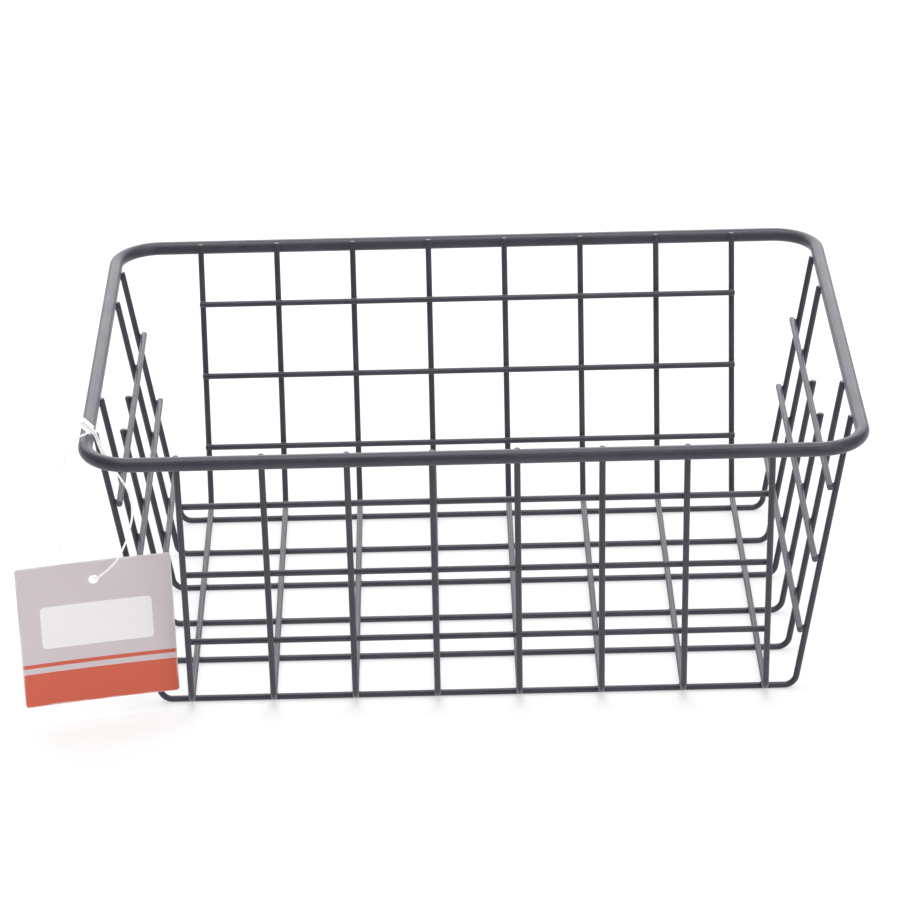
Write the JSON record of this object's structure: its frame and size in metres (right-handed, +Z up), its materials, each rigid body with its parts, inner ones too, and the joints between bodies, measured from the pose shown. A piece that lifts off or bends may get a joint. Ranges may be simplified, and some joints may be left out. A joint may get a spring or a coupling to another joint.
{
  "type": "wire storage basket",
  "caption": "Tapered rectangular wire basket with a heavy rim, a hand-hold under the rim at each end, welded grid walls and floor, and a card swing tag on a nylon loop.",
  "frame": {"origin": "bottom centre of the basket, on the surface that its long wires rest on", "axes": "+X along the length towards the right end, +Y from the front wall to the back wall, +Z up"},
  "size_m": [0.2661, 0.178, 0.1019],
  "materials": {
    "wire_coat": "satin charcoal powder coat on steel wire",
    "tag_card": "printed satin card",
    "tag_nylon": "milky white nylon"
  },
  "bodies": {
    "basket": {"rim_wire": "wire_coat", "cross_wire_1": "wire_coat", "cross_wire_2": "wire_coat", "cross_wire_3": "wire_coat", "cross_wire_4": "wire_coat", "cross_wire_5": "wire_coat", "cross_wire_6": "wire_coat", "cross_wire_7": "wire_coat", "cross_wire_8": "wire_coat", "long_wire_1": "wire_coat", "long_wire_2": "wire_coat", "long_wire_3": "wire_coat", "long_wire_4": "wire_coat", "long_wire_5": "wire_coat", "long_wire_6": "wire_coat", "front_rail_lower": "wire_coat", "front_rail_middle": "wire_coat", "front_rail_upper": "wire_coat", "back_rail_lower": "wire_coat", "back_rail_middle": "wire_coat", "back_rail_upper": "wire_coat", "left_rail_lower": "wire_coat", "left_rail_middle": "wire_coat", "left_rail_upper": "wire_coat", "right_rail_lower": "wire_coat", "right_rail_middle": "wire_coat", "right_rail_upper": "wire_coat"},
    "tag": {"swing_tag": "tag_card", "tag_loop": "tag_nylon", "tag_loop_lock": "tag_nylon"}
  },
  "joints": [
    {"name": "tag_swing", "type": "hinge", "parent": "basket", "child": "tag", "pos_m": [-0.11975, -0.069, 0.09475], "axis": [0, 1, 0], "range_deg": [-8, 90]}
  ]
}
